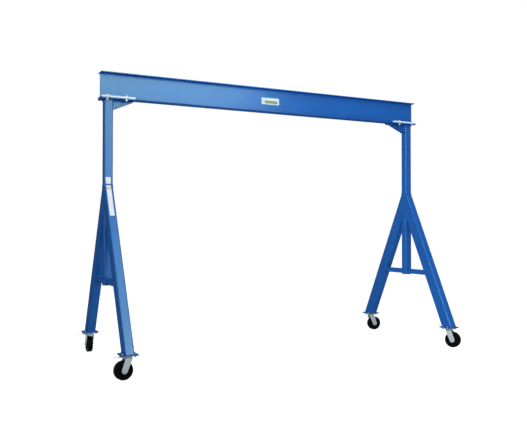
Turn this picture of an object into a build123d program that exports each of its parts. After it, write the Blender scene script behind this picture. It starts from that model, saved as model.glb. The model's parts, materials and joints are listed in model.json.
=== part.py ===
"""Portable steel gantry crane: one wide-flange beam on two A-frame ends that roll on swivel casters.

Millimetres, +Z up, +X along the beam, origin on the floor under the middle of the crane.
Near pieces are on the -Y side and far pieces on the +Y side, left is -X and right is +X.
"""
from build123d import *
from math import atan2, cos, radians, sin, tan
import os

# Beam: a rolled wide-flange section that a trolley runs on
beam_length = 4572.0
beam_depth = 304.0
beam_width = 160.0
flange_thick = 10.0
web_thick = 7.0
beam_root_radius = 12.0
under_beam = 3106.0

# Mounting plate between each post and the beam, flush with the beam's end
plate_length = 396.0
plate_width = 216.0
plate_thick = 13.0
plate_corner = 6.0

# Clamp bars that hold the beam's lower flange down on the mounting plate
clamp_width = 46.0
clamp_rise = 12.0
clamp_play = 0.5
clamp_edge = 2.0
clamp_bolt_spacing = 225.0
clamp_bolt_gauge = 190.0
clamp_bolt_inset = 65.0
clamp_bolt_hole = 17.0

# Post: square tube from the plate down to the brace
post_x = 2192.0
post_size = 102.0
tube_wall = 6.0
tube_corner = 13.0

# Legs: rectangular tubes mitred onto the post's two Y faces
leg_width = 100.0
leg_depth = 165.0
leg_slant = 27.0
knee_height = 2093.0

# Brace: square tube from leg to leg, cut round the post's foot
brace_size = 65.0
brace_wall = 5.0
brace_corner = 8.0
brace_under = 935.0
post_drop = 13.0

# Knee bracket under the mounting plate: a web plate with a sloped flange
bracket_tip_gap = 8.0
bracket_heel = 121.0
bracket_tip = 15.0
bracket_web = 10.0
bracket_flange_width = 76.0
bracket_flange_thick = 8.0

# Foot plate that closes each leg and carries a caster
foot_plate_side = 186.0
foot_plate_thick = 12.0
foot_plate_corner = 5.0
caster_height = 257.0

# Caster: plate, ball race, kingpin and its nut
caster_plate_length = 184.0
caster_plate_width = 134.0
caster_plate_thick = 8.0
caster_plate_corner = 12.0
caster_bolt_x = 134.0
caster_bolt_y = 86.0
caster_bolt_hole = 13.5
caster_slot_length = 22.0
race_radius = 48.0
race_inner = 34.0
race_height = 20.0
race_edge = 2.0
race_flare = 6.0
kingpin_radius = 9.0
kingpin_end = 3.0
kingpin_nut = 28.0
kingpin_nut_height = 12.0
swivel_gap = 0.5
running_gap = 0.06

# Fork: bent channel under a round crown, its legs slanting back to the axle
crown_radius = 47.0
crown_thick = 9.0
crown_lead = 38.0
crown_trail = 40.0
fork_inside = 78.0
fork_thick = 6.0
fork_bend = 14.0
fork_end_radius = 33.0
trail = 52.0

# Wheel and axle
wheel_diameter = 203.0
wheel_width = 62.0
tread_depth = 19.0
tread_shoulder = 7.0
hub_radius = 27.0
hub_width = 74.0
rim_width = 58.0
rim_depth = 15.0
web_width = 24.0
web_draft = 4.0
bushing_radius = 12.0
axle_radius = 8.0
axle_end = 4.0
axle_hex = 24.0
axle_hex_thick = 9.0
hex_chamfer = 1.5

# Swivel lock on the outer end of each caster plate, in its released position
lock_from = 64.0
lock_length = 26.0
lock_width = 34.0
lock_drop = 17.0
lock_corner = 5.0
lever_width = 18.0
lever_thick = 5.0
lever_reach = 163.0
lever_tip_length = 32.0
lever_tip_rise = 9.0
lever_tip_corner = 7.0

# Heading in which each wheel trails its swivel, in degrees from +X
headings = {
    ("left", "near"): 187.0,
    ("left", "far"): 90.0,
    ("right", "near"): -59.0,
    ("right", "far"): -11.0,
}

sides = {"left": -1, "right": 1}
ends = {"near": -1, "far": 1}

# Derived heights and places
post_half = post_size / 2
foot_top = caster_height + foot_plate_thick
post_top = under_beam - plate_thick
plate_middle = beam_length / 2 - plate_length / 2
clamp_bolt_middle = beam_length / 2 - clamp_bolt_inset - clamp_bolt_spacing / 2
slope = tan(radians(leg_slant))
leg_cut = leg_depth / cos(radians(leg_slant))
caster_plate_bottom = caster_height - caster_plate_thick
race_bottom = caster_plate_bottom - race_height
crown_top = race_bottom - swivel_gap
crown_bottom = crown_top - crown_thick
nut_bottom = crown_bottom - swivel_gap - kingpin_nut_height
wheel_radius = wheel_diameter / 2
fork_outside = fork_inside + 2 * fork_thick


def leg_outer_y(z):
    """Distance of a leg's outer face from the middle at height z."""
    return post_half + (knee_height - z) * slope


foot_y = leg_outer_y(foot_top) - leg_cut / 2


def tube(width, depth, wall, corner):
    """Section of a rounded rectangular tube."""
    outer = RectangleRounded(width, depth, corner)
    return outer - RectangleRounded(width - 2 * wall, depth - 2 * wall, corner - wall)


def four_holes(spacing_x, spacing_y, hole):
    """A hole on each corner of a rectangle."""
    return Sketch() + GridLocations(spacing_x, spacing_y, 2, 2) * hole


def bored_plate(length, width, thick, corner, hole):
    """Rounded plate with the caster's four bolt holes, standing on z = 0 about the origin."""
    face = RectangleRounded(length, width, corner) - four_holes(caster_bolt_x, caster_bolt_y, hole)
    return extrude(face, thick)


def hexagon(across, thick):
    """Hexagon head or nut about Z, with its top corners turned off."""
    blank = extrude(RegularPolygon(across / 2, 6, major_radius=False), thick)
    corner_radius = across / 2 / cos(radians(30))
    turned = Cylinder(corner_radius, thick, align=(Align.CENTER, Align.CENTER, Align.MIN))
    return blank & chamfer(turned.edges().sort_by(Axis.Z)[-1], hex_chamfer)


def main_beam():
    """Wide-flange beam with rolled root radii."""
    section = Rectangle(beam_width, beam_depth)
    pocket = RectangleRounded(beam_width - web_thick, beam_depth - 2 * flange_thick, beam_root_radius)
    for sign in (-1, 1):
        section -= Pos(sign * beam_width / 2, 0) * pocket
    middle = under_beam + beam_depth / 2
    return Pos(-beam_length / 2, 0, middle) * extrude(Plane.YZ * section, beam_length)


def clamp_bolt_holes(sign):
    """The four bolt holes of one mounting plate and its clamp bars."""
    holes = four_holes(clamp_bolt_spacing, clamp_bolt_gauge, Circle(clamp_bolt_hole / 2))
    return Pos(sign * clamp_bolt_middle, 0) * holes


def mounting_plate(sign):
    """Plate welded on the post, on which the beam is clamped."""
    face = Pos(sign * plate_middle, 0) * RectangleRounded(plate_length, plate_width, plate_corner)
    return Pos(0, 0, post_top) * extrude(face - clamp_bolt_holes(sign), plate_thick)


def clamp_bar(sign, end):
    """Stepped bar along the plate's edge, with a lip that grips the beam's lower flange."""
    outer_y = plate_width / 2
    lip_y = outer_y - clamp_width
    step_y = beam_width / 2 + clamp_play
    flange_top = under_beam + flange_thick
    bar_top = flange_top + clamp_rise
    outline = Polyline(
        (end * outer_y, under_beam),
        (end * outer_y, bar_top),
        (end * lip_y, bar_top),
        (end * lip_y, flange_top),
        (end * step_y, flange_top),
        (end * step_y, under_beam),
        close=True,
    )
    section = make_face(outline)
    section = fillet(section.vertices().group_by(Axis.Y)[-1], clamp_edge)
    first_x = sign * plate_middle - plate_length / 2
    drills = Pos(0, 0, under_beam) * extrude(clamp_bolt_holes(sign), bar_top - under_beam)
    return Pos(first_x, 0, 0) * extrude(Plane.YZ * section, plate_length) - drills


def post(sign):
    """Square tube with a closed foot."""
    bottom = brace_under - post_drop
    shell = extrude(tube(post_size, post_size, tube_wall, tube_corner), post_top - bottom)
    cap = extrude(RectangleRounded(post_size, post_size, tube_corner), tube_wall)
    return Pos(sign * post_x, 0, bottom) * (shell + cap)


def leg_prism(section, side, end):
    """A section run along the leg's slanted middle line, longer than the leg."""
    middle_z = (knee_height + foot_top) / 2
    middle_y = leg_outer_y(middle_z) - leg_cut / 2
    angle = radians(leg_slant)
    across = Plane(
        origin=(side * post_x, end * middle_y, middle_z),
        x_dir=(1, 0, 0),
        z_dir=(0, end * sin(angle), -cos(angle)),
    )
    return extrude(across * section, knee_height, both=True)


def leg(side, end):
    """Leg tube, cut flat on the post's face and on the foot plate."""
    run = leg_prism(tube(leg_width, leg_depth, tube_wall, tube_corner), side, end)
    room = Box(2 * leg_width, knee_height, knee_height, align=(Align.CENTER, Align.MIN, Align.MIN))
    if end < 0:
        room = mirror(room, Plane.XZ)
    return run & (Pos(side * post_x, end * post_half, foot_top) * room)


def brace(side, end):
    """Half of the tie between the legs, from the post to one leg's slanted inner face."""
    reach = leg_outer_y(brace_under) - leg_cut / 2 - post_half
    start = Plane(
        origin=(side * post_x, end * post_half, brace_under + brace_size / 2),
        x_dir=(1, 0, 0),
        z_dir=(0, end, 0),
    )
    bar = extrude(start * tube(brace_size, brace_size, brace_wall, brace_corner), reach)
    return bar - leg_prism(Rectangle(leg_width, leg_depth), side, end)


def knee_bracket(sign):
    """Bracket between post and mounting plate: upright web and sloped flange."""
    heel_x = post_x - post_half
    tip_x = beam_length / 2 - plate_length + bracket_tip_gap
    outline = Polyline(
        (heel_x, post_top),
        (heel_x, post_top - bracket_heel),
        (tip_x, post_top - bracket_tip),
        (tip_x, post_top),
        close=True,
    )
    bracket = extrude(Plane.XZ * make_face(outline), bracket_flange_width / 2, both=True)
    lift = bracket_flange_thick / cos(atan2(bracket_heel - bracket_tip, heel_x - tip_x))
    for end in ends.values():
        start = Plane.XZ.offset(-end * bracket_web / 2)
        room = extrude(start * make_face(outline), -end * bracket_flange_width)
        bracket -= Pos(0, 0, lift) * room
    return bracket if sign > 0 else mirror(bracket, Plane.YZ)


def at_foot(side, end, piece, heading=0.0):
    """Turn a piece about the swivel and carry it to its leg's foot."""
    return Pos(side * post_x, end * foot_y, 0) * Rot(0, 0, heading) * piece


def foot_plate():
    hole = Circle(caster_bolt_hole / 2)
    plate = bored_plate(foot_plate_side, foot_plate_side, foot_plate_thick, foot_plate_corner, hole)
    return Pos(0, 0, caster_height) * plate


def caster_plate():
    """Top plate with slotted holes, a turned ball race and the kingpin that holds the fork."""
    slot = SlotOverall(caster_slot_length, caster_bolt_hole)
    plate = bored_plate(caster_plate_length, caster_plate_width, caster_plate_thick, caster_plate_corner, slot)
    race = Polyline(
        (race_inner, race_bottom),
        (race_radius - race_edge, race_bottom),
        (race_radius, race_bottom + race_edge),
        (race_radius, caster_plate_bottom - race_flare),
        (race_radius + race_flare, caster_plate_bottom),
        (race_inner, caster_plate_bottom),
        close=True,
    )
    pin_bottom = nut_bottom - kingpin_end
    pin = extrude(Circle(kingpin_radius), caster_plate_bottom - pin_bottom)
    nut = Pos(0, 0, nut_bottom + kingpin_nut_height) * Rot(180, 0, 0) * hexagon(kingpin_nut, kingpin_nut_height)
    plate = Pos(0, 0, caster_plate_bottom) * plate
    plate += revolve(Plane.XZ * make_face(race), Axis.Z)
    return plate + Pos(0, 0, pin_bottom) * pin + nut


def yoke():
    """Swivel fork: a bent channel trailing to +X under a round crown, cut to a taper at each leg."""
    top_edge = Line((-crown_lead, crown_top), (crown_trail, crown_top))
    end_round = Pos(trail, wheel_radius) * Circle(fork_end_radius)
    cheek = make_hull(top_edge.edges() + end_round.edges())
    cheek -= Pos(trail, wheel_radius) * Circle(axle_radius)
    fork = extrude(Plane.XZ * cheek, fork_outside / 2, both=True)
    gap = RectangleRounded(fork_inside, 2 * crown_bottom, fork_bend - fork_thick)
    fork -= extrude(Plane.YZ * gap, wheel_diameter, both=True)
    fork = fillet(fork.edges().filter_by(Axis.X).group_by(Axis.Z)[-1], fork_bend)
    crown = extrude(Circle(crown_radius), crown_thick)
    bore = extrude(Circle(kingpin_radius + running_gap), crown_thick)
    return fork + Pos(0, 0, crown_bottom) * crown - Pos(0, 0, crown_bottom) * bore


def across_axle(piece):
    """Lay a piece that was drawn about Z on the wheel's axle, along Y."""
    return Pos(trail, 0, wheel_radius) * Rot(90, 0, 0) * piece


def axle():
    """Axle bolt with its head, its nut and the bushing that the wheel turns on."""
    bolt = Cylinder(axle_radius, fork_outside + 2 * axle_hex_thick)
    bolt += Cylinder(bushing_radius, fork_inside)
    thread_end = extrude(Circle(axle_radius), axle_hex_thick + axle_end)
    head = hexagon(axle_hex, axle_hex_thick)
    bolt += Pos(0, 0, fork_outside / 2) * head
    return across_axle(bolt + Pos(0, 0, -fork_outside / 2) * Rot(180, 0, 0) * (head + thread_end))


def wheel_core():
    """Hub, drafted web and rim, turned about the axle."""
    rim_radius = wheel_radius - tread_depth
    rim_inner = rim_radius - rim_depth
    half = [
        (bushing_radius + running_gap, hub_width / 2),
        (hub_radius, hub_width / 2),
        (hub_radius + web_draft, web_width / 2),
        (rim_inner - web_draft, web_width / 2),
        (rim_inner, rim_width / 2),
        (rim_radius, rim_width / 2),
    ]
    other_half = [(r, -z) for r, z in reversed(half)]
    profile = Polyline(*half, *other_half, close=True)
    return across_axle(revolve(Plane.XZ * make_face(profile), Axis.Z))


def tyre():
    """Solid tread with rounded shoulders."""
    ring = extrude(Circle(wheel_radius) - Circle(wheel_radius - tread_depth), wheel_width / 2, both=True)
    shoulders = ring.edges().filter_by(GeomType.CIRCLE).group_by(SortBy.RADIUS)[-1]
    return across_axle(fillet(shoulders, tread_shoulder))


def swivel_lock(side):
    """Lock housing under the caster plate with its foot lever standing out of the crane's end."""
    middle_x = lock_from + lock_length / 2
    lever_z = caster_plate_bottom - lock_drop / 2
    housing = Pos(middle_x, 0, lever_z) * Box(lock_length, lock_width, lock_drop)
    housing = fillet(housing.edges().filter_by(Axis.Z), lock_corner)
    path = Polyline(
        (middle_x, lever_z),
        (lever_reach - lever_tip_length, lever_z),
        (lever_reach, lever_z + lever_tip_rise),
    )
    strip = make_face(offset(path, lever_thick / 2, kind=Kind.TANGENT))
    lever = extrude(Plane.XZ * strip, lever_width / 2, both=True)
    plan_length = lever_reach + lever_thick
    plan = Pos(plan_length / 2, 0) * RectangleRounded(plan_length, lever_width, lever_tip_corner)
    lock = housing + (lever & extrude(plan, caster_height))
    return lock if side > 0 else mirror(lock, Plane.YZ)


def save(name, piece):
    solids = piece.solids()
    assert len(solids) == 1, f"{name} has {len(solids)} solids"
    solids[0].label = name
    export_step(solids[0], f"parts/{name}.step")


os.makedirs("parts", exist_ok=True)
save("main_beam", main_beam())
for side_name, side in sides.items():
    save(f"{side_name}_mounting_plate", mounting_plate(side))
    save(f"{side_name}_post", post(side))
    save(f"{side_name}_knee_bracket", knee_bracket(side))
    for end_name, end in ends.items():
        corner_name = f"{side_name}_{end_name}"
        heading = headings[side_name, end_name]
        save(f"{corner_name}_clamp_bar", clamp_bar(side, end))
        save(f"{corner_name}_leg", leg(side, end))
        save(f"{corner_name}_brace", brace(side, end))
        save(f"{corner_name}_foot_plate", at_foot(side, end, foot_plate()))
        save(f"{corner_name}_caster_plate", at_foot(side, end, caster_plate()))
        save(f"{corner_name}_swivel_lock", at_foot(side, end, swivel_lock(side)))
        save(f"{corner_name}_yoke", at_foot(side, end, yoke(), heading))
        save(f"{corner_name}_axle", at_foot(side, end, axle(), heading))
        save(f"{corner_name}_wheel_core", at_foot(side, end, wheel_core(), heading))
        save(f"{corner_name}_tyre", at_foot(side, end, tyre(), heading))
print("leg foot centre at", round(foot_y, 1), "from the middle")
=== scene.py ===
"""Looks for the portable gantry crane: finishes, bolts, welds, blank labels, light and camera."""
from collections import namedtuple
import json
import math

import bmesh
import bpy
from mathutils import Matrix, Vector


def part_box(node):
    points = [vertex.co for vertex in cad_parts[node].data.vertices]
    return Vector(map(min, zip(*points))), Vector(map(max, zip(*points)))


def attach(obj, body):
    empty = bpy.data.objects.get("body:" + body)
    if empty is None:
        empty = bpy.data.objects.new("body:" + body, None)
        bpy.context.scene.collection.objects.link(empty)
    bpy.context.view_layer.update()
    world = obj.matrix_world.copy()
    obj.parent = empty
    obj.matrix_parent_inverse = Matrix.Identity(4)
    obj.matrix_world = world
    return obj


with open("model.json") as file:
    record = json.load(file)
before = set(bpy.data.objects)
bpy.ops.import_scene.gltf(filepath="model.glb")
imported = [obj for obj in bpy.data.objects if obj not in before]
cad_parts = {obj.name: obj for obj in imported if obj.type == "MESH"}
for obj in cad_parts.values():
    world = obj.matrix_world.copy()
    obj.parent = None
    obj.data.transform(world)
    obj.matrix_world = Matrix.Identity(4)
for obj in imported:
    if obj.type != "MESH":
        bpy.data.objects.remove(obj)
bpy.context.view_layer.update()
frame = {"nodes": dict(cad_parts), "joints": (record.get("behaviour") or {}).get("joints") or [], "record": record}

scene = bpy.context.scene

# Ends of the crane and of its two A-frames, as the CAD names them
SIDES = {"left": -1, "right": 1}
ENDS = {"near": -1, "far": 1}
CORNERS = [(side, end) for side in SIDES for end in ENDS]

# Sizes that the CAD shares, in metres, and its legs' slant from upright
CLAMP_BOLT_SPACING = 0.225
CLAMP_BOLT_GAUGE = 0.190
CLAMP_BOLT_INSET = 0.065
CASTER_BOLT_X = 0.134
CASTER_BOLT_Y = 0.086
CASTER_PLATE_THICK = 0.008
RACE_RADIUS = 0.048
RACE_HEIGHT = 0.020
POST_HALF = 0.051
LEG_HALF = 0.050
LEG_DEPTH = 0.165
LEG_SLANT = math.radians(27)
LEG_CUT = LEG_DEPTH / math.cos(LEG_SLANT)
LEG_SLOPE = math.tan(LEG_SLANT)
WEB_FACE = 0.0035
FORK_INSIDE = 0.078
FORK_OUTSIDE = 0.090
AXLE_HEAD = 0.009

# Edge rounding that the finishes give, in metres, and the bend past which a piece's edge is sharp
TUBE_CORNER = 0.012
ROLLED_EDGE = 0.005
PLATE_EDGE = 0.0015
FINE_EDGE = 0.001
BEVEL_SAMPLES = 6
SHARP_ANGLE = math.radians(35)

# Bolts: across is the width over flats, and end is the thread below the nut
Bolt = namedtuple("Bolt", "across head nut washer_radius washer thread end")
CLAMP_BOLT = Bolt(
    across=0.024, head=0.009, nut=0.013, washer_radius=0.0155, washer=0.003, thread=0.008, end=0.009,
)
CASTER_BOLT = Bolt(
    across=0.019, head=0.0075, nut=0.010, washer_radius=0.012, washer=0.0025, thread=0.006, end=0.005,
)
THREAD_PITCH = 0.002
THREAD_DEPTH = 0.001
HEX_FACE = 0.47
HEX_CHAMFER = math.tan(math.radians(30))
NUT_TURN = math.radians(17)
ROUND_SEGMENTS = 24

# Thrust washers and grease fittings, with the nipple's (radius, height) points
THRUST_RADIUS = 0.021
THRUST_THICK = 0.0015
FITTING_HEX = 0.008
FITTING_HEX_HEIGHT = 0.003
FITTING_SINK = 0.001
NIPPLE = (
    (0.0025, 0.003), (0.0025, 0.005), (0.0018, 0.006), (0.0026, 0.0075), (0.0020, 0.009), (0.0008, 0.0095),
)

# Weld beads
WELD_RADIUS = 0.005
WELD_STEP = 0.004
WELD_RIPPLE = 0.08
WELD_SEGMENTS = 8

# Blank labels: the middle's x and z, and the size
Label = namedtuple("Label", "x z width height")
WEB_LABEL = Label(x=-0.048, z=3.254, width=0.258, height=0.086)
WEB_BAND = Label(x=-0.037, z=3.242, width=0.188, height=0.038)
POST_LABEL = Label(x=-2.197, z=2.143, width=0.058, height=0.078)
LEG_LABEL = Label(x=-2.195, z=1.908, width=0.055, height=0.400)
LEG_BAND = Label(x=-2.195, z=2.050, width=0.046, height=0.030)
LABEL_THICK = 0.0004
LABEL_CORNER = 0.1
LABEL_CORNER_STEPS = 3

# Camera, as solved from the photograph
CAMERA_AT = (-4.1619, -7.9216, 1.5777)
CAMERA_YAW = 26.877
CAMERA_PITCH = 0.839
FOCAL_PIXELS = 680.7
IMAGE_WIDTH = 527
SENSOR = 36.0

# Colours, linear
BLUE = (0.0062, 0.089, 0.375)
BLUE_SHEEN = (0.54, 0.88, 0.60)
SHEEN_SHARE = 0.02
ZINC = (0.25, 0.285, 0.30)
BAR_ZINC = (0.60, 0.74, 0.80)
BLACK_TREAD = (0.0008, 0.0012, 0.0015)
BLACK_CORE = (0.0025, 0.0030, 0.0035)
LABEL_WHITE = (0.72, 0.80, 0.84)
LABEL_PALE = (0.50, 0.68, 0.74)
LABEL_OLIVE = (0.22, 0.27, 0.12)
LABEL_TAN = (0.58, 0.50, 0.32)

# The part of a noise texture's range that is spread over what it drives
NOISE_LOW = 0.3
NOISE_HIGH = 0.7

# Light: how bright the surroundings are to matt surfaces, and how the floor takes and gives light
FILL = 0.42
FLOOR_ALBEDO = 0.42
FLOOR_GLOW = 0.84
FLOOR_HALF = 60.0

# The wall of softboxes in front, and the one behind it that only reflections show
WALL_X = -0.75
WALL_Y = -6.2
WALL_WIDTH = 6.9
SHEEN_WALL_X = -0.62
SHEEN_WALL_Y = -6.25
SHEEN_WALL_WIDTH = 7.15


def node_tree(name):
    """A new material with an empty node tree, its output and a Principled shader."""
    material = bpy.data.materials.new(name)
    material.use_nodes = True
    tree = material.node_tree
    tree.nodes.clear()
    output = tree.nodes.new("ShaderNodeOutputMaterial")
    shader = tree.nodes.new("ShaderNodeBsdfPrincipled")
    tree.links.new(shader.outputs["BSDF"], output.inputs["Surface"])
    return material, tree, shader


def noise(tree, scale, detail=3.0):
    """Noise over the object's own coordinates, in cycles per metre."""
    coords = tree.nodes.new("ShaderNodeTexCoord")
    texture = tree.nodes.new("ShaderNodeTexNoise")
    texture.inputs["Scale"].default_value = scale
    texture.inputs["Detail"].default_value = detail
    tree.links.new(coords.outputs["Object"], texture.inputs["Vector"])
    return texture.outputs["Fac"]


def remap(tree, value, low, high):
    """Noise turned into a value from low to high."""
    node = tree.nodes.new("ShaderNodeMapRange")
    node.inputs["From Min"].default_value = NOISE_LOW
    node.inputs["From Max"].default_value = NOISE_HIGH
    node.inputs["To Min"].default_value = low
    node.inputs["To Max"].default_value = high
    tree.links.new(value, node.inputs["Value"])
    return node.outputs["Result"]


def shade(colour, by):
    """A colour made lighter or darker."""
    return tuple(min(1.0, c * by) for c in colour)


def mottled(tree, colour, darker, lighter, scale, detail=3.0):
    """A colour that drifts between a darker and a lighter shade of itself."""
    node = tree.nodes.new("ShaderNodeMix")
    node.data_type = "RGBA"
    tree.links.new(remap(tree, noise(tree, scale, detail), low=0, high=1), node.inputs["Factor"])
    node.inputs["A"].default_value = (*shade(colour, darker), 1)
    node.inputs["B"].default_value = (*shade(colour, lighter), 1)
    return node.outputs["Result"]


def bump(tree, shader, height, distance, strength, edge_radius=0.0):
    """Surface relief, over edges that are rounded by edge_radius metres."""
    node = tree.nodes.new("ShaderNodeBump")
    node.inputs["Distance"].default_value = distance
    node.inputs["Strength"].default_value = strength
    tree.links.new(height, node.inputs["Height"])
    if edge_radius:
        bevel = tree.nodes.new("ShaderNodeBevel")
        bevel.samples = BEVEL_SAMPLES
        bevel.inputs["Radius"].default_value = edge_radius
        tree.links.new(bevel.outputs["Normal"], node.inputs["Normal"])
    tree.links.new(node.outputs["Normal"], shader.inputs["Normal"])


def powder_coat(name, edge_radius):
    """Blue powder coat with a faint orange peel, and an even sheen over its matt colour."""
    material, tree, shader = node_tree(name)
    colour = mottled(tree, BLUE, darker=0.95, lighter=1.06, scale=2.2)
    tree.links.new(colour, shader.inputs["Base Color"])
    shader.inputs["Specular IOR Level"].default_value = 0.0
    sheen = tree.nodes.new("ShaderNodeBsdfAnisotropic")
    sheen.inputs["Color"].default_value = (*BLUE_SHEEN, 1)
    for part in (shader, sheen):
        roughness = remap(tree, noise(tree, scale=9), low=0.22, high=0.28)
        tree.links.new(roughness, part.inputs["Roughness"])
        peel = noise(tree, scale=420, detail=2)
        bump(tree, part, peel, distance=0.0004, strength=0.10, edge_radius=edge_radius)
    coat = tree.nodes.new("ShaderNodeMixShader")
    coat.inputs["Fac"].default_value = SHEEN_SHARE
    tree.links.new(shader.outputs["BSDF"], coat.inputs[1])
    tree.links.new(sheen.outputs["BSDF"], coat.inputs[2])
    tree.links.new(coat.outputs["Shader"], tree.nodes["Material Output"].inputs["Surface"])
    return material


def zinc(name, zinc_colour, metallic, specular):
    """Zinc with a cloudy grain: bright plate, or dull and pale where it isn't metallic."""
    material, tree, shader = node_tree(name)
    colour = mottled(tree, zinc_colour, darker=0.86, lighter=1.08, scale=60, detail=5)
    tree.links.new(colour, shader.inputs["Base Color"])
    shader.inputs["Metallic"].default_value = metallic
    shader.inputs["Specular IOR Level"].default_value = specular
    roughness = remap(tree, noise(tree, scale=90), low=0.42, high=0.55)
    tree.links.new(roughness, shader.inputs["Roughness"])
    grain = noise(tree, scale=500, detail=2)
    bump(tree, shader, grain, distance=0.0003, strength=0.15, edge_radius=FINE_EDGE)
    return material


def black_moulding(name, colour, smooth, rough, grain):
    """Black moulded rubber or nylon, with its roughness from smooth to rough and a fine grain."""
    material, tree, shader = node_tree(name)
    colour = mottled(tree, colour, darker=0.8, lighter=1.3, scale=35, detail=4)
    tree.links.new(colour, shader.inputs["Base Color"])
    roughness = remap(tree, noise(tree, scale=70), low=smooth, high=rough)
    tree.links.new(roughness, shader.inputs["Roughness"])
    shader.inputs["Specular IOR Level"].default_value = 0.02
    bump(tree, shader, noise(tree, scale=grain), distance=0.0005, strength=0.25, edge_radius=FINE_EDGE)
    return material


def label_film(name, colour):
    """Vinyl film, slightly mottled."""
    material, tree, shader = node_tree(name)
    colour = mottled(tree, colour, darker=0.93, lighter=1.0, scale=30)
    tree.links.new(colour, shader.inputs["Base Color"])
    shader.inputs["Roughness"].default_value = 0.5
    shader.inputs["Specular IOR Level"].default_value = 0.1
    bump(tree, shader, noise(tree, scale=160), distance=0.0003, strength=0.1)
    return material


MATERIALS = {
    "blue_paint": powder_coat("blue_powder_coat", PLATE_EDGE),
    "blue_tube": powder_coat("blue_powder_coat_on_tube", TUBE_CORNER),
    "blue_rolled": powder_coat("blue_powder_coat_on_rolled_edge", ROLLED_EDGE),
    "zinc_plate": zinc("bright_zinc", ZINC, metallic=0.6, specular=0.5),
    "zinc_bar": zinc("galvanised_bar", BAR_ZINC, metallic=0.0, specular=0.1),
    "black_tread": black_moulding("black_tread_rubber", BLACK_TREAD, smooth=0.5, rough=0.62, grain=650),
    "black_core": black_moulding("black_core_moulding", BLACK_CORE, smooth=0.34, rough=0.42, grain=300),
    "label_white": label_film("white_label_film", LABEL_WHITE),
    "label_pale": label_film("pale_label_film", LABEL_PALE),
    "label_olive": label_film("olive_label_print", LABEL_OLIVE),
    "label_tan": label_film("tan_label_print", LABEL_TAN),
}
CLOSER_FINISHES = {
    "_post": "blue_tube", "_leg": "blue_tube", "_brace": "blue_tube",
    "_beam": "blue_rolled", "_mounting_plate": "blue_rolled", "_clamp_bar": "zinc_bar",
}
CAD_SLOTS = {part["node"]: part["material_slot"] for part in frame["record"]["subparts"]}
JOINTS = {joint["name"]: joint for joint in frame["joints"]}


def dress_nodes():
    """Give every CAD node the finish of its slot, with softer tube corners and paler clamp bars."""
    for name, obj in frame["nodes"].items():
        closer = [finish for ending, finish in CLOSER_FINISHES.items() if name.endswith(ending)]
        finish = closer[0] if closer else CAD_SLOTS[name]
        obj.data.materials.clear()
        obj.data.materials.append(MATERIALS[finish])


def add_piece(name, bm, finish, body):
    """Turn mesh data into a piece that rides on a CAD body."""
    bmesh.ops.recalc_face_normals(bm, faces=bm.faces)
    mesh = bpy.data.meshes.new(name)
    bm.to_mesh(mesh)
    bm.free()
    mesh.shade_smooth()
    mesh.set_sharp_from_angle(angle=SHARP_ANGLE)
    mesh.materials.append(MATERIALS[finish])
    obj = bpy.data.objects.new(name, mesh)
    scene.collection.objects.link(obj)
    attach(obj, body)


def skin(bm, rings, closed=False):
    """Join rings of points into a tube, capped at both ends unless it closes on itself."""
    loops = [[bm.verts.new(point) for point in points] for points in rings]
    following = loops[1:] + loops[:1] if closed else loops[1:]
    for lower, upper in zip(loops, following):
        for i, vertex in enumerate(lower):
            bm.faces.new((lower[i - 1], vertex, upper[i], upper[i - 1]))
    if not closed:
        bm.faces.new(loops[0][::-1])
        bm.faces.new(loops[-1])


def always(value):
    """A function that gives the same value at every angle."""
    return lambda angle: value


def ring(frame_at, radius_at, height_at):
    """Points round the Z axis of frame_at, with their radius and height as functions of the angle."""
    points = []
    for i in range(ROUND_SEGMENTS):
        angle = 2 * math.pi * i / ROUND_SEGMENTS
        radius = radius_at(angle)
        point = Vector((radius * math.cos(angle), radius * math.sin(angle), height_at(angle)))
        points.append(frame_at @ point)
    return points


def turned(bm, frame_at, profile):
    """Solid of revolution from (radius, height) points."""
    skin(bm, [ring(frame_at, always(radius), always(height)) for radius, height in profile])


def disc(bm, frame_at, radius, thick):
    """Flat round washer, drawn without its hole, which the bolt or axle through it fills."""
    turned(bm, frame_at, [(radius, 0), (radius, thick)])


def hexagon(bm, frame_at, across, height):
    """Hexagon head or nut with its top corners turned off."""
    face_radius = HEX_FACE * across

    def corner(angle):
        return across / 2 / math.cos(angle % (math.pi / 3) - math.pi / 6)

    def chamfer(angle):
        return height - (corner(angle) - face_radius) * HEX_CHAMFER

    foot = ring(frame_at, corner, always(0))
    shoulder = ring(frame_at, corner, chamfer)
    face = ring(frame_at, always(face_radius), always(height))
    skin(bm, [foot, shoulder, face])


def thread_profile(size, start, nut_face):
    """(radius, height) points of a bolt's shank from start, and of its thread past the nut's face."""
    profile = [(size.thread, start), (size.thread, nut_face)]
    for i in range(int(size.end / THREAD_PITCH)):
        crest = nut_face + i * THREAD_PITCH
        profile.append((size.thread - THREAD_DEPTH, crest + THREAD_PITCH / 2))
        profile.append((size.thread, crest + THREAD_PITCH))
    profile.append((size.thread - THREAD_DEPTH, nut_face + size.end))
    return profile


def bolt(bm, at, top, bottom, size):
    """Bolt down through a joint: head and washer on top, washer, nut and thread end below."""
    up = Matrix.Translation((*at, top))
    down = Matrix.Translation((*at, bottom)) @ Matrix.Rotation(math.pi, 4, "X")
    for face in (up, down):
        disc(bm, face, size.washer_radius, size.washer)
    on_washer = Matrix.Translation((0, 0, size.washer))
    hexagon(bm, up @ on_washer, size.across, size.head)
    hexagon(bm, down @ on_washer @ Matrix.Rotation(NUT_TURN, 4, "Z"), size.across, size.nut)
    turned(bm, down, thread_profile(size, bottom - top, size.washer + size.nut))


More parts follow.
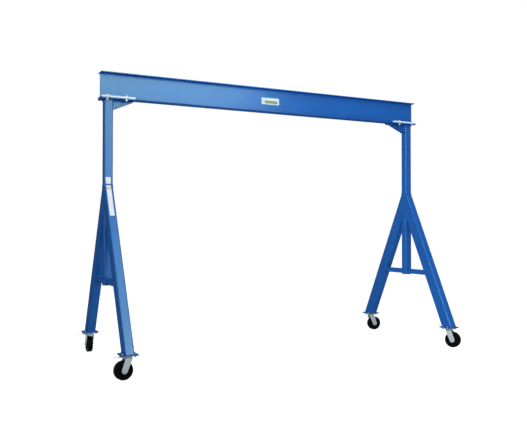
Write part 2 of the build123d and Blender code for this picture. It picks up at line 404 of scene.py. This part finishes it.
def clamp_bolts():
    """Bolts through the clamp bars and mounting plates."""
    for side, end in CORNERS:
        plate_low, plate_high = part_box(f"{side}_mounting_plate")
        bar_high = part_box(f"{side}_{end}_clamp_bar")[1]
        outer_x = max(abs(plate_low.x), abs(plate_high.x)) - CLAMP_BOLT_INSET
        bm = bmesh.new()
        for x in (outer_x, outer_x - CLAMP_BOLT_SPACING):
            at = (SIDES[side] * x, ENDS[end] * CLAMP_BOLT_GAUGE / 2)
            bolt(bm, at, bar_high.z, plate_low.z, CLAMP_BOLT)
        add_piece(f"{side}_{end}_clamp_bolts", bm, "zinc_plate", "frame")


def caster_bolts():
    """Bolts from each foot plate down through its caster plate."""
    for side, end in CORNERS:
        low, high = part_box(f"{side}_{end}_foot_plate")
        middle = (low + high) / 2
        bm = bmesh.new()
        for sx in (-1, 1):
            for sy in (-1, 1):
                at = (middle.x + sx * CASTER_BOLT_X / 2, middle.y + sy * CASTER_BOLT_Y / 2)
                bolt(bm, at, high.z, low.z - CASTER_PLATE_THICK, CASTER_BOLT)
        add_piece(f"{side}_{end}_caster_bolts", bm, "zinc_plate", "frame")


def facing(at, direction):
    """A frame at a point, with its Z axis along a direction."""
    return Matrix.Translation(at) @ direction.to_track_quat("Z", "Y").to_matrix().to_4x4()


def grease_fitting(bm, frame_at):
    """Small grease nipple standing on the Z axis of frame_at."""
    hexagon(bm, frame_at, FITTING_HEX, FITTING_HEX_HEIGHT)
    turned(bm, frame_at, NIPPLE)


def axle_trim(corner):
    """Thrust washers on both sides of the hub, and a grease fitting on the axle's head."""
    spin = JOINTS[f"{corner}_wheel_spin"]
    head_side = facing(spin["pos_m"], Vector(spin["axis"]))
    bm = bmesh.new()
    for face in (-FORK_INSIDE / 2, FORK_INSIDE / 2 - THRUST_THICK):
        disc(bm, head_side @ Matrix.Translation((0, 0, face)), THRUST_RADIUS, THRUST_THICK)
    grease_fitting(bm, head_side @ Matrix.Translation((0, 0, FORK_OUTSIDE / 2 + AXLE_HEAD)))
    add_piece(f"{corner}_axle_trim", bm, "zinc_plate", f"{corner}_fork")


def race_fitting(corner, outward):
    """Grease fitting on the outer side of the swivel race."""
    low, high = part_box(f"{corner}_foot_plate")
    race_z = low.z - CASTER_PLATE_THICK - RACE_HEIGHT / 2
    middle = Vector(((low.x + high.x) / 2, (low.y + high.y) / 2, race_z))
    bm = bmesh.new()
    grease_fitting(bm, facing(middle + outward * (RACE_RADIUS - FITTING_SINK), outward))
    add_piece(f"{corner}_race_grease_fitting", bm, "zinc_plate", "frame")


def caster_trim():
    """Small parts of each caster."""
    for side, end in CORNERS:
        axle_trim(f"{side}_{end}")
        race_fitting(f"{side}_{end}", Vector((0, ENDS[end], 0)))


def bead_path(corners, closed):
    """Points at even steps along a path of corner points."""
    corners = [Vector(corner) for corner in corners]
    ends = corners[1:] + corners[:1] if closed else corners[1:]
    path = []
    for start, stop in zip(corners, ends):
        steps = max(2, round((stop - start).length / WELD_STEP))
        path += [start.lerp(stop, i / steps) for i in range(steps)]
    if not closed:
        path.append(corners[-1])
    return path


def bead(bm, corners, closed=False):
    """Rippled weld bead along a path of corner points."""
    path = bead_path(corners, closed)
    angles = [2 * math.pi * k / WELD_SEGMENTS for k in range(WELD_SEGMENTS)]
    rings = []
    for i, point in enumerate(path):
        before = path[i - 1] if closed or i else point
        after = path[(i + 1) % len(path)] if closed or i + 1 < len(path) else point
        place = facing(point, after - before)
        radius = WELD_RADIUS * (1 + WELD_RIPPLE * (-1) ** i)
        rings.append([place @ Vector((radius * math.cos(a), radius * math.sin(a), 0)) for a in angles])
    skin(bm, rings, closed)


def rectangle(low_x, high_x, low_y, high_y, z):
    """Corners of a level rectangle."""
    return [(low_x, low_y, z), (high_x, low_y, z), (high_x, high_y, z), (low_x, high_y, z)]


def upright(low_x, high_x, y, low_z, high_z):
    """Corners of an upright rectangle that faces along Y."""
    return [(low_x, y, low_z), (low_x, y, high_z), (high_x, y, high_z), (high_x, y, low_z)]


def knee_weld(bm, leg_box, out):
    """Weld round a leg's cut end on the face of its post."""
    leg_low, leg_high = leg_box
    x = (leg_low.x + leg_high.x) / 2
    inset = LEG_HALF - WELD_RADIUS / 2
    knee = leg_high.z
    crotch = knee - LEG_CUT / LEG_SLOPE
    bead(bm, upright(x - inset, x + inset, out * POST_HALF, crotch, knee), closed=True)


def foot_weld(bm, leg_box, out):
    """Weld round a leg's foot on its foot plate."""
    leg_low, leg_high = leg_box
    outer = out * max(abs(leg_low.y), abs(leg_high.y))
    bead(bm, rectangle(leg_low.x, leg_high.x, outer - out * LEG_CUT, outer, leg_low.z), closed=True)


def brace_welds(bm, leg_box, brace_box, out):
    """Welds round a brace's end on its post, and round its end on the leg's slanted inner face."""
    leg_low, leg_high = leg_box
    brace_low, brace_high = brace_box
    x = (leg_low.x + leg_high.x) / 2
    half = (brace_high.x - brace_low.x) / 2
    post_seam = upright(x - half, x + half, out * POST_HALF, brace_low.z, brace_high.z)
    bead(bm, post_seam, closed=True)

    def inner_face(z):
        return out * (POST_HALF + (leg_high.z - z) * LEG_SLOPE - LEG_CUT)

    bead(bm, [(px, inner_face(z), z) for px, py, z in post_seam], closed=True)


def leg_welds():
    """Welds from each leg to its post and foot plate, and from the brace to leg and post."""
    for side, end in CORNERS:
        leg_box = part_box(f"{side}_{end}_leg")
        brace_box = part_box(f"{side}_{end}_brace")
        bm = bmesh.new()
        knee_weld(bm, leg_box, ENDS[end])
        foot_weld(bm, leg_box, ENDS[end])
        brace_welds(bm, leg_box, brace_box, ENDS[end])
        add_piece(f"{side}_{end}_leg_welds", bm, "blue_paint", "frame")


def head_welds():
    """Welds round each post's head and along its knee bracket."""
    for side, sign in SIDES.items():
        post_low, post_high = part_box(f"{side}_post")
        bracket_low, bracket_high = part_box(f"{side}_knee_bracket")
        top = post_high.z
        heel_x = post_low.x if sign > 0 else post_high.x
        tip_x = bracket_low.x if sign > 0 else bracket_high.x
        half = (bracket_high.y - bracket_low.y) / 2
        bm = bmesh.new()
        bead(bm, rectangle(post_low.x, post_high.x, post_low.y, post_high.y, top), closed=True)
        for y in (-WELD_RADIUS, WELD_RADIUS):
            bead(bm, [(heel_x, y, top), (tip_x, y, top)])
            bead(bm, [(heel_x, y, bracket_low.z), (heel_x, y, top)])
        bead(bm, [(heel_x, -half, bracket_low.z), (heel_x, half, bracket_low.z)])
        bead(bm, [(tip_x, -half, top), (tip_x, half, top)])
        add_piece(f"{side}_head_welds", bm, "blue_paint", "frame")


def film(name, frame_at, label, finish, lift=0.0):
    """Thin film with round corners, lying on the XY plane of frame_at."""
    radius = min(label.width, label.height) * LABEL_CORNER
    outline = []
    for quarter, (sx, sy) in enumerate(((1, 1), (-1, 1), (-1, -1), (1, -1))):
        for step in range(LABEL_CORNER_STEPS + 1):
            angle = math.pi / 2 * (quarter + step / LABEL_CORNER_STEPS)
            x = sx * (label.width / 2 - radius) + radius * math.cos(angle)
            y = sy * (label.height / 2 - radius) + radius * math.sin(angle)
            outline.append((x, y))
    bm = bmesh.new()
    skin(bm, [[frame_at @ Vector((x, y, z)) for x, y in outline] for z in (lift, lift + LABEL_THICK)])
    add_piece(name, bm, finish, "frame")


def on_upright(label, face):
    """Frame of a label on an upright face, that far in front of the middle."""
    return Matrix.Translation((label.x, -face, label.z)) @ Matrix.Rotation(math.pi / 2, 4, "X")


def on_near_left_leg(label):
    """Frame of a label on the slanted outer face of the near left leg."""
    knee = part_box("left_near_leg")[1].z
    y = -(POST_HALF + (knee - label.z) * LEG_SLOPE)
    return Matrix.Translation((label.x, y, label.z)) @ Matrix.Rotation(math.pi / 2 - LEG_SLANT, 4, "X")


def blank_labels():
    """The photograph's labels, left blank: one on the web, one on the post and one down the near left leg."""
    film("web_label", on_upright(WEB_LABEL, WEB_FACE), WEB_LABEL, "label_pale")
    film("web_label_band", on_upright(WEB_BAND, WEB_FACE), WEB_BAND, "label_olive", LABEL_THICK)
    film("post_label", on_upright(POST_LABEL, POST_HALF), POST_LABEL, "label_white")
    film("leg_label", on_near_left_leg(LEG_LABEL), LEG_LABEL, "label_white")
    film("leg_label_band", on_near_left_leg(LEG_BAND), LEG_BAND, "label_tan", LABEL_THICK)


def make_camera():
    """Camera where the photograph was taken from."""
    camera = bpy.data.cameras.new("camera")
    camera.sensor_width = SENSOR
    camera.lens = FOCAL_PIXELS / IMAGE_WIDTH * SENSOR
    obj = bpy.data.objects.new("camera", camera)
    scene.collection.objects.link(obj)
    obj.location = CAMERA_AT
    obj.rotation_euler = (math.radians(90 + CAMERA_PITCH), 0, math.radians(-CAMERA_YAW))
    scene.camera = obj


def softbox(name, at, towards, size, radiance, sheen_only=False):
    """A rectangular lamp of a given brightness, that only reflections show where sheen_only is set."""
    lamp = bpy.data.lights.new(name, "AREA")
    lamp.shape = "RECTANGLE"
    lamp.size, lamp.size_y = size
    lamp.energy = radiance * math.pi * size[0] * size[1]
    obj = bpy.data.objects.new(name, lamp)
    scene.collection.objects.link(obj)
    obj.location = at
    obj.rotation_euler = (Vector(towards) - Vector(at)).to_track_quat("-Z", "Y").to_euler()
    obj.visible_camera = False
    obj.visible_diffuse = not sheen_only


def wall_softbox(name, z, height, radiance):
    """One band of the wall of softboxes in front."""
    softbox(name, (WALL_X, WALL_Y, z), (WALL_X, 0, z), (WALL_WIDTH, height), radiance)


def wall_sheen(name, z, height, radiance):
    """One band of the wall that only reflections show."""
    at = (SHEEN_WALL_X, SHEEN_WALL_Y, z)
    softbox(name, at, (SHEEN_WALL_X, 0, z), (SHEEN_WALL_WIDTH, height), radiance, sheen_only=True)


def make_lights():
    """A wall of softboxes in front, six that fill in round the crane, and lamps that only the sheen shows."""
    wall_softbox("high_softbox", z=7.55, height=3.1, radiance=0.3)
    wall_softbox("middle_softbox", z=5.05, height=1.9, radiance=3.15)
    wall_softbox("low_softbox", z=2.45, height=3.3, radiance=0.75)
    softbox("left_softbox", at=(-6.6, -4.4, 3.4), towards=(0, 0, 1.8), size=(3.6, 5.0), radiance=1.65)
    softbox("ceiling_softbox", at=(0, 0.4, 7.0), towards=(0, 0.4, 0), size=(6.0, 4.0), radiance=0.2)
    softbox("inner_softbox", at=(-1.3, -3.2, 1.9), towards=(2.2, -1.8, 1.6), size=(3.0, 2.6), radiance=4.2)
    softbox("back_softbox", at=(0.5, 7.5, 3.8), towards=(0.5, 0, 1.8), size=(7.0, 5.0), radiance=1.3)
    softbox("right_softbox", at=(7.5, 0.8, 3.4), towards=(0, 0.8, 1.8), size=(5.0, 5.0), radiance=1.0)
    softbox("high_right_softbox", at=(2.2, -3.6, 7.2), towards=(2.0, 0, 2.5), size=(2.5, 2.0), radiance=3.2)
    wall_sheen("high_sheen", z=8.5, height=3.6, radiance=8.5)
    wall_sheen("middle_sheen", z=5.1, height=2.0, radiance=11.0)
    wall_sheen("low_sheen", z=3.15, height=1.9, radiance=7.0)
    softbox(
        "left_sheen", at=(-6.7, -4.5, 3.4), towards=(0, 0, 1.8), size=(3.6, 5.0), radiance=6.0,
        sheen_only=True,
    )


def backdrop_rays(tree):
    """One for the rays that show the backdrop: from the camera, off metal or gloss, or through glass."""
    path = tree.nodes.new("ShaderNodeLightPath")
    result = path.outputs["Is Camera Ray"]
    for ray in ("Is Glossy Ray", "Is Transmission Ray"):
        either = tree.nodes.new("ShaderNodeMath")
        either.operation = "MAXIMUM"
        tree.links.new(result, either.inputs[0])
        tree.links.new(path.outputs[ray], either.inputs[1])
        result = either.outputs["Value"]
    return result


def for_backdrop_rays(tree, plain, shown):
    """One shader for the light, and another for the rays that show the backdrop."""
    mix = tree.nodes.new("ShaderNodeMixShader")
    tree.links.new(backdrop_rays(tree), mix.inputs["Fac"])
    tree.links.new(plain, mix.inputs[1])
    tree.links.new(shown, mix.inputs[2])
    return mix.outputs["Shader"]


def make_world():
    """Studio surroundings: white to look at, and dimmer as a light."""
    world = bpy.data.worlds.new("studio")
    scene.world = world
    world.use_nodes = True
    tree = world.node_tree
    tree.nodes.clear()
    output = tree.nodes.new("ShaderNodeOutputWorld")
    fill = tree.nodes.new("ShaderNodeBackground")
    fill.inputs["Color"].default_value = (FILL, FILL, FILL, 1)
    white = tree.nodes.new("ShaderNodeBackground")
    white.inputs["Color"].default_value = (1, 1, 1, 1)
    result = for_backdrop_rays(tree, fill.outputs["Background"], white.outputs["Background"])
    tree.links.new(result, output.inputs["Surface"])


def floor_material():
    """Pale floor that glows for the rays that show the backdrop."""
    material = bpy.data.materials.new("pale_floor")
    material.use_nodes = True
    tree = material.node_tree
    tree.nodes.clear()
    output = tree.nodes.new("ShaderNodeOutputMaterial")
    pale = tree.nodes.new("ShaderNodeBsdfDiffuse")
    pale.inputs["Color"].default_value = (FLOOR_ALBEDO, FLOOR_ALBEDO, FLOOR_ALBEDO, 1)
    glow = tree.nodes.new("ShaderNodeEmission")
    glow.inputs["Strength"].default_value = FLOOR_GLOW
    lit = tree.nodes.new("ShaderNodeAddShader")
    tree.links.new(pale.outputs["BSDF"], lit.inputs[0])
    tree.links.new(glow.outputs["Emission"], lit.inputs[1])
    result = for_backdrop_rays(tree, pale.outputs["BSDF"], lit.outputs["Shader"])
    tree.links.new(result, output.inputs["Surface"])
    return material


def make_floor():
    """A wide pale floor, white to look at but for the crane's soft shadow."""
    mesh = bpy.data.meshes.new("floor")
    corners = rectangle(-FLOOR_HALF, FLOOR_HALF, -FLOOR_HALF, FLOOR_HALF, 0)
    mesh.from_pydata(corners, [], [(0, 1, 2, 3)])
    mesh.materials.append(floor_material())
    floor = bpy.data.objects.new("floor", mesh)
    scene.collection.objects.link(floor)


dress_nodes()
clamp_bolts()
caster_bolts()
caster_trim()
leg_welds()
head_welds()
blank_labels()
make_camera()
make_lights()
make_world()
make_floor()

scene.view_settings.view_transform = "Standard"
